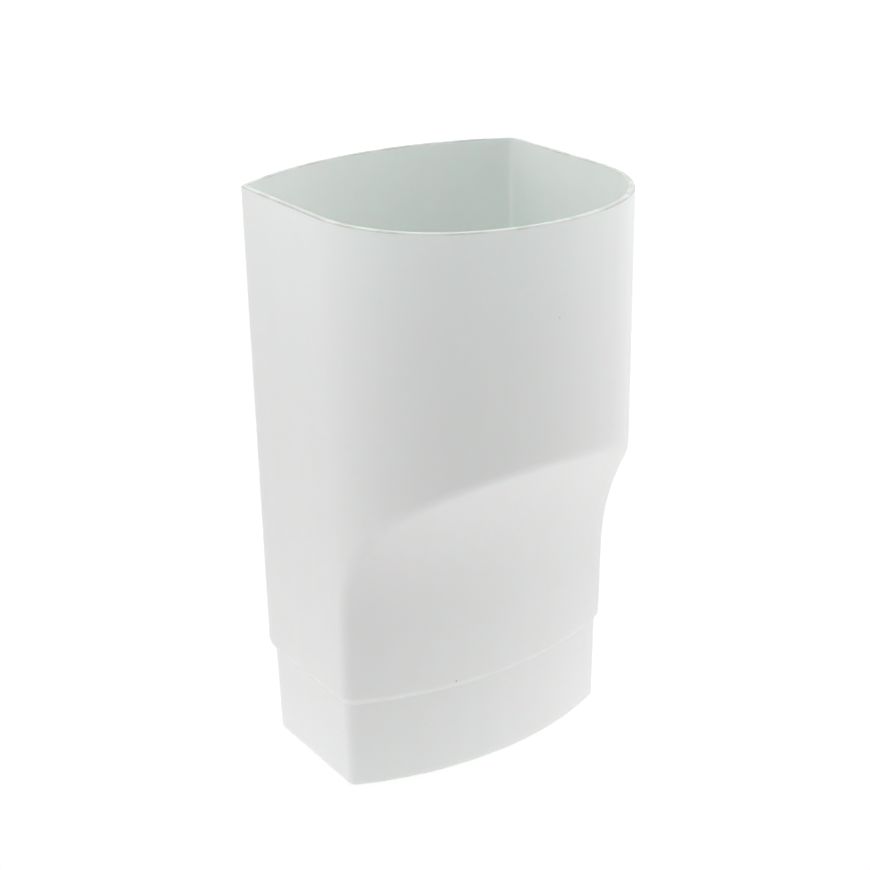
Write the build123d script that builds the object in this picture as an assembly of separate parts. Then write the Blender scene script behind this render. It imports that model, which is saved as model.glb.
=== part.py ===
from build123d import *
import math
import os

# A moulded fitting that joins a large round-fronted downspout to a smaller rectangular one.
# Lengths are in millimetres and angles in degrees. X runs across, Y from the front to the back
# and Z up. The origin is the middle of the plan, level with the spigot's rim.

# Whole moulding
overall_height = 145.3
wall = 1.65
rim_bevel = 0.3

# Spigot, outside, where it meets the shoulder: a rectangle with a bowed front and back
spigot_length = 23.2
spigot_width = 77.7
spigot_depth = 53.8
spigot_bow = 8.9
spigot_corner = 3.2
spigot_draft = 1.0

# Shoulder: how far the body stands out from the spigot, and the slope that carries it in
shoulder_side_step = 0.95
shoulder_front_step = 0.8
shoulder_back_step = 1.3
shoulder_angle = 35.0
shoulder_round = 1.5

# Socket, outside, at its rim: flat sides, a bowed back and a round front made of three arcs
socket_depth = 81.5
socket_back_bow = 11.0
socket_back_corner = 3.0
socket_arc_spacing = 11.8
socket_front_half_angle = 24.0
body_draft = 0.1

# Lower front: nearly upright, with the spigot's bow, then a cove that sweeps out to the socket
lower_front_draft = 1.6
cove_radius = 50.5
cove_angle = 41.5
crease_height = 89.1
crease_round = 4.2
crease_round_inside = 1.35

# How far the cutting forms run past the faces they cut
overrun = 2.0

# Widths and places that follow from the sizes
body_growth = (overall_height - spigot_length) * math.tan(math.radians(body_draft))
socket_width = spigot_width + 2 * (shoulder_side_step + body_growth)
back_y = socket_depth / 2
front_y = back_y - socket_depth
socket_back_corner_y = back_y - socket_back_bow
spigot_back_corner_y = socket_back_corner_y - body_growth - shoulder_back_step
spigot_back_y = spigot_back_corner_y + spigot_bow
spigot_front_y = spigot_back_y - spigot_depth
spigot_front_corner_y = spigot_front_y + spigot_bow
lower_front_y = spigot_front_y - shoulder_front_step


def socket_outline():
    """Outside of the socket at its rim, seen from above."""
    side_x = socket_width / 2
    half_angle = math.radians(socket_front_half_angle)
    corner_turn = 90 - socket_front_half_angle
    corner_radius = side_x - socket_arc_spacing / 2
    front_radius = corner_radius + socket_arc_spacing / 2 / math.sin(half_angle)
    side_end_y = front_y + front_radius - (front_radius - corner_radius) * math.cos(half_angle)
    left_side = Line((-side_x, socket_back_corner_y), (-side_x, side_end_y))
    left_corner = JernArc(left_side @ 1, left_side % 1, corner_radius, corner_turn)
    front = JernArc(left_corner @ 1, left_corner % 1, front_radius, 2 * socket_front_half_angle)
    right_corner = JernArc(front @ 1, front % 1, corner_radius, corner_turn)
    right_side = Line(right_corner @ 1, (side_x, socket_back_corner_y))
    back = ThreePointArc(right_side @ 1, (0, back_y), left_side @ 0)
    outline = make_face([left_side, left_corner, front, right_corner, right_side, back])
    back_corners = outline.vertices().group_by(Axis.Y)[-1]
    return fillet(back_corners, socket_back_corner)


def spigot_outline():
    """Outside of the spigot where it meets the shoulder, seen from above."""
    side_x = spigot_width / 2
    left_side = Line((-side_x, spigot_back_corner_y), (-side_x, spigot_front_corner_y))
    front = ThreePointArc(left_side @ 1, (0, spigot_front_y), (side_x, spigot_front_corner_y))
    right_side = Line(front @ 1, (side_x, spigot_back_corner_y))
    back = ThreePointArc(right_side @ 1, (0, spigot_back_y), left_side @ 0)
    outline = make_face([left_side, front, right_side, back])
    return fillet(outline.vertices(), spigot_corner)


def hanging_prism(outline, top, length, draft):
    """A prism that hangs down from the outline and narrows by the draft as it goes."""
    upright = extrude(outline, length, taper=draft)
    return Pos(0, 0, top) * mirror(upright, about=Plane.XY)


def behind_the_front(inset):
    """All that lies behind the lower front and the cove, turned about the centre of the bow."""
    draft = math.radians(lower_front_draft)
    lean = math.radians(cove_angle)
    bow_radius = ((socket_width / 2) ** 2 + spigot_bow**2) / (2 * spigot_bow)
    bow_centre_y = lower_front_y + bow_radius
    foot_reach = bow_radius - inset / math.cos(draft)
    crease_reach = bow_centre_y - front_y - inset / math.cos(lean)
    reach_under_crease = foot_reach + (crease_height - spigot_length) * math.tan(draft)
    bend_drop = (crease_reach - reach_under_crease) / (math.tan(lean) - math.tan(draft))
    bend = (crease_reach - bend_drop * math.tan(lean), crease_height - bend_drop)
    bottom = -overrun
    bottom_reach = foot_reach - (spigot_length - bottom) * math.tan(draft)
    top = overall_height + overrun
    top_reach = crease_reach + (top - crease_height) * math.tan(lean)
    profile = FilletPolyline(
        (0, bottom),
        (bottom_reach, bottom),
        bend,
        (top_reach, top),
        (0, top),
        radius=[0, cove_radius + inset, 0],
    )
    section = make_face([profile, Line((0, top), (0, bottom))])
    upright_plane = Plane((0, bow_centre_y, 0), x_dir=(0, 1, 0), z_dir=(1, 0, 0))
    return revolve(upright_plane * section, Axis((0, bow_centre_y, 0), (0, 0, 1)))


def spigot_and_shoulder(inset):
    """The spigot, and above it all that lies inside the shoulder's slope."""
    outline = offset(spigot_outline(), -inset) if inset else spigot_outline()
    spigot_top = spigot_length + inset * math.tan(math.radians(shoulder_angle / 2))
    rise = overall_height + overrun - spigot_top
    widened = offset(outline, rise * math.tan(math.radians(shoulder_angle)))
    slope = hanging_prism(widened, overall_height + overrun, rise, shoulder_angle)
    return slope + hanging_prism(outline, spigot_top, spigot_top, spigot_draft)


def duct_form(inset, crease_radius):
    """The outside form of the fitting or, inset by one wall, the hollow inside it."""
    outline = offset(socket_outline(), -inset) if inset else socket_outline()

    # Body as deep as the socket, with its lower front cut back. The lowest edge of that cut
    # lies at the foot, and the others are rounded over.
    prism = hanging_prism(outline, overall_height, overall_height, body_draft)
    front_cut = behind_the_front(inset)
    body = prism & front_cut
    crease = new_edges(prism, front_cut, combined=body).sort_by(Axis.Z)[1:]
    body = fillet(crease, crease_radius)

    # Body narrowed to the shoulder and the spigot
    shoulder_cut = spigot_and_shoulder(inset)
    form = body & shoulder_cut
    if shoulder_round > inset:
        form = fillet(new_edges(body, shoulder_cut, combined=form), shoulder_round - inset)
    return form


outside = duct_form(0, crease_round)

# The hollow runs straight out through both ends
hollow = duct_form(wall, crease_round_inside)
hollow_ends = hollow.faces().sort_by(Axis.Z)
hollow += extrude(hollow_ends[0], overrun) + extrude(hollow_ends[-1], overrun)

adapter_body = outside - hollow
levels = adapter_body.edges().group_by(Axis.Z)
adapter_body = chamfer(levels[0] + levels[-1], rim_bevel)

os.makedirs("parts", exist_ok=True)
export_step(adapter_body, "parts/adapter_body.step")
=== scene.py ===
import math

import bpy
from mathutils import Matrix, Vector


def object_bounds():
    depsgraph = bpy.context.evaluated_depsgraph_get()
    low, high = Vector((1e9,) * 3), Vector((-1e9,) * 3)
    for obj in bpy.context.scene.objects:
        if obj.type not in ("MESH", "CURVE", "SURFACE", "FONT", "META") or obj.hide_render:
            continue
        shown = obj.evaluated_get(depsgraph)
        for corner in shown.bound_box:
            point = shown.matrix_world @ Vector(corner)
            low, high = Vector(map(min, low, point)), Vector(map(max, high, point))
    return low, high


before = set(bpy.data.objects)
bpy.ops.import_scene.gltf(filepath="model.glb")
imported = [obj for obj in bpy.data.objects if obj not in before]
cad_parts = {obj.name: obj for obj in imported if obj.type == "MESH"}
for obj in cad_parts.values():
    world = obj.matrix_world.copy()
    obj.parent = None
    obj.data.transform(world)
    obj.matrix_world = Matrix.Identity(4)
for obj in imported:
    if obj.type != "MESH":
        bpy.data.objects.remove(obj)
cad_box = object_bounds()

MM = 0.001

# Camera
# The camera circles the aim point: azimuth 0 looks along +Y, and a positive elevation looks down.
AIM = Vector((1.967, 12.386, 77.74)) * MM
CAMERA_AZIMUTH = -33.833
CAMERA_ELEVATION = 22.475
CAMERA_ROLL = -1.15
CAMERA_DISTANCE = 446.59 * MM
CAMERA_LENS = 73.30
SENSOR_WIDTH = 36.0
CLIP_START = 0.01
CLIP_END = 100.0


def direction(azimuth, elevation):
    """Unit vector from the object towards a place seen at this azimuth and elevation, in degrees."""
    azimuth = math.radians(azimuth)
    elevation = math.radians(elevation)
    return Vector((
        math.sin(azimuth) * math.cos(elevation),
        -math.cos(azimuth) * math.cos(elevation),
        math.sin(elevation),
    ))


def make_camera():
    data = bpy.data.cameras.new("camera")
    data.sensor_width = SENSOR_WIDTH
    data.lens = CAMERA_LENS
    data.clip_start = CLIP_START
    data.clip_end = CLIP_END
    camera = bpy.data.objects.new("camera", data)
    back = direction(CAMERA_AZIMUTH, CAMERA_ELEVATION)
    turn = back.to_track_quat("Z", "Y").to_matrix().to_4x4()
    roll = Matrix.Rotation(math.radians(CAMERA_ROLL), 4, "Z")
    camera.matrix_world = Matrix.Translation(AIM + CAMERA_DISTANCE * back) @ turn @ roll
    bpy.context.scene.collection.objects.link(camera)
    bpy.context.scene.camera = camera


# Node helpers
def new_tree(owner):
    owner.use_nodes = True
    owner.node_tree.nodes.clear()
    return owner.node_tree


def node(tree, kind, **settings):
    made = tree.nodes.new(kind)
    for name, value in settings.items():
        setattr(made, name, value)
    return made


def math_node(tree, operation, first, second, clamp=False):
    made = node(tree, "ShaderNodeMath", operation=operation, use_clamp=clamp)
    for socket, value in zip(made.inputs, (first, second)):
        if isinstance(value, (int, float)):
            socket.default_value = value
        else:
            tree.links.new(value, socket)
    return made.outputs[0]


def smooth_step(tree, value, low, high, to_low=0.0, to_high=1.0):
    made = node(tree, "ShaderNodeMapRange", interpolation_type="SMOOTHSTEP")
    tree.links.new(value, made.inputs["Value"])
    made.inputs["From Min"].default_value = low
    made.inputs["From Max"].default_value = high
    made.inputs["To Min"].default_value = to_low
    made.inputs["To Max"].default_value = to_high
    return made.outputs["Result"]


# Light: a pale tent all round, dimmer overhead and on the side that the camera looks in from.
# The dark side fades out over DARK_EDGE degrees, and the roof dims from ROOF_LOW upward.
TENT_STRENGTH = 0.90
DARK_AZIMUTH = -25.0
DARK_ELEVATION = 10.0
DARK_EDGE = 85.0
DARK_DEPTH = 0.66
ROOF_LOW = 0.3
ROOF_SHARE = 0.53
WHITE = (1.0, 1.0, 1.0, 1.0)


def sees_white(tree):
    """1 for the rays that look at the background or mirror it, and 0 for those that gather light."""
    ray = node(tree, "ShaderNodeLightPath")
    white = math_node(tree, "MAXIMUM", ray.outputs["Is Camera Ray"], ray.outputs["Is Glossy Ray"])
    return math_node(tree, "MAXIMUM", white, ray.outputs["Is Transmission Ray"])


def make_world():
    world = bpy.data.worlds.new("tent")
    bpy.context.scene.world = world
    tree = new_tree(world)
    place = node(tree, "ShaderNodeTexCoord")
    toward = node(tree, "ShaderNodeVectorMath", operation="DOT_PRODUCT")
    tree.links.new(place.outputs["Generated"], toward.inputs[0])
    toward.inputs[1].default_value = direction(DARK_AZIMUTH, DARK_ELEVATION)
    lit = smooth_step(tree, toward.outputs["Value"], math.cos(math.radians(DARK_EDGE)), 1.0,
                      TENT_STRENGTH, TENT_STRENGTH * (1 - DARK_DEPTH))
    height = node(tree, "ShaderNodeSeparateXYZ")
    tree.links.new(place.outputs["Generated"], height.inputs[0])
    roof = smooth_step(tree, height.outputs["Z"], ROOF_LOW, 1.0, 1.0, ROOF_SHARE)
    lit = math_node(tree, "MULTIPLY", lit, roof)
    strength = node(tree, "ShaderNodeMix", data_type="FLOAT")
    tree.links.new(sees_white(tree), strength.inputs["Factor"])
    tree.links.new(lit, strength.inputs["A"])
    strength.inputs["B"].default_value = 1.0
    tent = node(tree, "ShaderNodeBackground")
    tent.inputs["Color"].default_value = WHITE
    tree.links.new(strength.outputs["Result"], tent.inputs["Strength"])
    out = node(tree, "ShaderNodeOutputWorld")
    tree.links.new(tent.outputs[0], out.inputs["Surface"])


# Softboxes, one on each side and one behind, all facing the object
SOFTBOX_SIZE = 0.8
SOFTBOX_DISTANCE = 1.0
SOFTBOX_ELEVATION = 27.0
LEFT_AZIMUTH = -112.0
LEFT_RADIANCE = 0.72
RIGHT_AZIMUTH = 60.0
RIGHT_RADIANCE = 1.15
BACK_AZIMUTH = 150.0
BACK_RADIANCE = 0.76


def make_softbox(name, azimuth, radiance):
    data = bpy.data.lights.new(name, "AREA")
    data.size = SOFTBOX_SIZE
    data.energy = radiance * math.pi * SOFTBOX_SIZE**2
    away = direction(azimuth, SOFTBOX_ELEVATION)
    turn = away.to_track_quat("Z", "Y").to_matrix().to_4x4()
    lamp = bpy.data.objects.new(name, data)
    lamp.matrix_world = Matrix.Translation(AIM + SOFTBOX_DISTANCE * away) @ turn
    bpy.context.scene.collection.objects.link(lamp)


# Floor: a light table that shines most under the object. The camera and mirrored rays see a lift
# to plain white in its place, a little lower near the object, where the shadow stays.
FLOOR_SIZE = 8.0
FLOOR_DROP = 0.02 * MM
FLOOR_TONE = 0.50
TABLE_NEAR = 0.58
TABLE_FAR = 0.19
TABLE_REACH = 0.6
LIFT_NEAR = 0.66
LIFT_FAR = 1.0
LIFT_START = 0.3
LIFT_END = 1.0


def make_floor():
    bpy.ops.mesh.primitive_plane_add(size=FLOOR_SIZE, location=(0, 0, -FLOOR_DROP))
    floor = bpy.context.object
    floor.name = "floor"
    material = bpy.data.materials.new("floor_white")
    tree = new_tree(material)
    place = node(tree, "ShaderNodeTexCoord")
    away = node(tree, "ShaderNodeVectorMath", operation="LENGTH")
    tree.links.new(place.outputs["Object"], away.inputs[0])
    table = smooth_step(tree, away.outputs["Value"], 0.0, TABLE_REACH, TABLE_NEAR, TABLE_FAR)
    seen = smooth_step(tree, away.outputs["Value"], LIFT_START, LIFT_END, LIFT_NEAR, LIFT_FAR)
    strength = node(tree, "ShaderNodeMix", data_type="FLOAT")
    tree.links.new(sees_white(tree), strength.inputs["Factor"])
    tree.links.new(table, strength.inputs["A"])
    tree.links.new(seen, strength.inputs["B"])
    paper = node(tree, "ShaderNodeBsdfDiffuse")
    paper.inputs["Color"].default_value = (FLOOR_TONE, FLOOR_TONE, FLOOR_TONE, 1.0)
    lift = node(tree, "ShaderNodeEmission")
    tree.links.new(strength.outputs["Result"], lift.inputs["Strength"])
    both = node(tree, "ShaderNodeAddShader")
    tree.links.new(paper.outputs[0], both.inputs[0])
    tree.links.new(lift.outputs[0], both.inputs[1])
    out = node(tree, "ShaderNodeOutputMaterial")
    tree.links.new(both.outputs[0], out.inputs["Surface"])
    floor.data.materials.append(material)


# Plastic: satin white PVC that lets a little light through. Pattern scales are per metre.
PLASTIC_DEEP = (0.884, 0.926, 0.893, 1.0)
PLASTIC_PALE = (0.900, 0.942, 0.909, 1.0)
PLASTIC_IOR = 1.53
SATIN_LOW = 0.35
SATIN_HIGH = 0.43
GLOW_RADIUS = (1.0, 1.35, 1.22)
GLOW_DEPTH = 2.5 * MM
MOTTLE_SCALE = 28.0
STREAK_SCALE = 130.0
STREAK_STRETCH = (1.0, 1.0, 0.05)
STREAK_DETAIL = 3.0
STREAK_ROUGHNESS = 0.6
PATTERN_LOW = 0.7
PATTERN_HIGH = 1.3
GRAIN_SCALE = 1300.0
GRAIN_HEIGHT = 0.012 * MM
BAND_SCALE = 60.0
BAND_DETAIL = 1.0
BAND_HEIGHT = 0.10 * MM

# Tiny specks in the plastic: the spacing of the places where one may lie, and their size
SPECK_SCALE = 125.0
SPECK_RADIUS = 0.28 * MM
SPECK_CORE = 0.5
SPECK_DARK = (0.42, 0.40, 0.36, 1.0)
SPECK_PALE = (0.97, 0.98, 0.97, 1.0)
SPECK_SHARE_PALE = 0.4

# Painted shade on the top and bottom rims: they are painted darker and a little warmer than the
# moulded faces, in uneven patches
RIM_SHADE_COLOUR = (0.655, 0.645, 0.61, 1.0)
RIM_REACH = 0.35 * MM
RIM_FULL = 0.7
RIM_LEAST = 0.5
RIM_PATCH_SCALE = 150.0
RIM_PATCH_LOW = 0.4
RIM_PATCH_HIGH = 0.6


def noise(tree, place, scale, detail=2.0, roughness=0.5):
    made = node(tree, "ShaderNodeTexNoise")
    tree.links.new(place, made.inputs["Vector"])
    made.inputs["Scale"].default_value = scale
    made.inputs["Detail"].default_value = detail
    made.inputs["Roughness"].default_value = roughness
    return made.outputs[0]


def mix_colours(tree, share, first, second):
    made = node(tree, "ShaderNodeMix", data_type="RGBA")
    tree.links.new(share, made.inputs["Factor"])
    colour_inputs = [socket for socket in made.inputs if socket.type == "RGBA"]
    for socket, colour in zip(colour_inputs, (first, second)):
        if isinstance(colour, tuple):
            socket.default_value = colour
        else:
            tree.links.new(colour, socket)
    return next(socket for socket in made.outputs if socket.type == "RGBA")


def bump(tree, height, distance, under=None):
    made = node(tree, "ShaderNodeBump")
    made.inputs["Strength"].default_value = 1.0
    made.inputs["Distance"].default_value = distance
    tree.links.new(height, made.inputs["Height"])
    if under:
        tree.links.new(under, made.inputs["Normal"])
    return made.outputs["Normal"]


def add_specks(tree, place, colour):
    """Lay tiny dark and pale specks over the colour."""
    cells = node(tree, "ShaderNodeTexVoronoi")
    tree.links.new(place, cells.inputs["Vector"])
    cells.inputs["Scale"].default_value = SPECK_SCALE
    parts = node(tree, "ShaderNodeSeparateColor")
    tree.links.new(cells.outputs["Color"], parts.inputs[0])
    radius = SPECK_RADIUS * SPECK_SCALE
    spot = smooth_step(tree, cells.outputs["Distance"], radius * SPECK_CORE, radius, 1.0, 0.0)
    pale = math_node(tree, "LESS_THAN", parts.outputs["Red"], SPECK_SHARE_PALE)
    speck = mix_colours(tree, pale, SPECK_DARK, SPECK_PALE)
    spot = math_node(tree, "MULTIPLY", spot, parts.outputs["Green"])
    return mix_colours(tree, spot, colour, speck)


def make_plastic(height):
    material = bpy.data.materials.new("white_pvc")
    tree = new_tree(material)
    place = node(tree, "ShaderNodeTexCoord").outputs["Object"]
    stretched = node(tree, "ShaderNodeVectorMath", operation="MULTIPLY")
    tree.links.new(place, stretched.inputs[0])
    stretched.inputs[1].default_value = STREAK_STRETCH
    upright = stretched.outputs["Vector"]

    # Soft mottling, upright flow streaks and fine grain
    mottle = noise(tree, place, MOTTLE_SCALE)
    streak = noise(tree, upright, STREAK_SCALE, STREAK_DETAIL, STREAK_ROUGHNESS)
    grain = noise(tree, place, GRAIN_SCALE)
    tone = math_node(tree, "ADD", mottle, streak)
    tone = smooth_step(tree, tone, PATTERN_LOW, PATTERN_HIGH)
    colour = mix_colours(tree, tone, PLASTIC_DEEP, PLASTIC_PALE)
    colour = add_specks(tree, place, colour)

    # Painted shade on the rims, above and below
    level = node(tree, "ShaderNodeSeparateXYZ")
    tree.links.new(place, level.inputs[0])
    over = smooth_step(tree, level.outputs["Z"], height - RIM_REACH, height - RIM_REACH * RIM_FULL)
    under = smooth_step(tree, level.outputs["Z"], RIM_REACH * RIM_FULL, RIM_REACH, 1.0, 0.0)
    rim_shade = math_node(tree, "MAXIMUM", over, under)
    patches = noise(tree, place, RIM_PATCH_SCALE)
    patches = smooth_step(tree, patches, RIM_PATCH_LOW, RIM_PATCH_HIGH, RIM_LEAST, 1.0)
    rim_shade = math_node(tree, "MULTIPLY", rim_shade, patches)
    # Painted shade: the rim colour darkens the plastic along the rims
    rim_shaded_colour = mix_colours(tree, rim_shade, colour, RIM_SHADE_COLOUR)

    # Gloss that varies with the streaks and the grain, and a faintly uneven face
    gloss = math_node(tree, "ADD", streak, grain)
    gloss = smooth_step(tree, gloss, PATTERN_LOW, PATTERN_HIGH, SATIN_LOW, SATIN_HIGH)
    bands = bump(tree, noise(tree, upright, BAND_SCALE, BAND_DETAIL), BAND_HEIGHT)
    surface = bump(tree, grain, GRAIN_HEIGHT, under=bands)

    shader = node(tree, "ShaderNodeBsdfPrincipled")
    tree.links.new(rim_shaded_colour, shader.inputs["Base Color"])
    tree.links.new(gloss, shader.inputs["Roughness"])
    tree.links.new(surface, shader.inputs["Normal"])
    shader.inputs["IOR"].default_value = PLASTIC_IOR
    shader.inputs["Subsurface Weight"].default_value = 1.0
    shader.inputs["Subsurface Radius"].default_value = GLOW_RADIUS
    shader.inputs["Subsurface Scale"].default_value = GLOW_DEPTH
    out = node(tree, "ShaderNodeOutputMaterial")
    tree.links.new(shader.outputs[0], out.inputs["Surface"])
    return material


make_camera()
make_world()
make_softbox("softbox_left", LEFT_AZIMUTH, LEFT_RADIANCE)
make_softbox("softbox_right", RIGHT_AZIMUTH, RIGHT_RADIANCE)
make_softbox("softbox_back", BACK_AZIMUTH, BACK_RADIANCE)
make_floor()

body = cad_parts["adapter_body"]
body.data.materials.clear()
body.data.materials.append(make_plastic(cad_box[1][2]))

bpy.context.scene.view_settings.view_transform = "Standard"
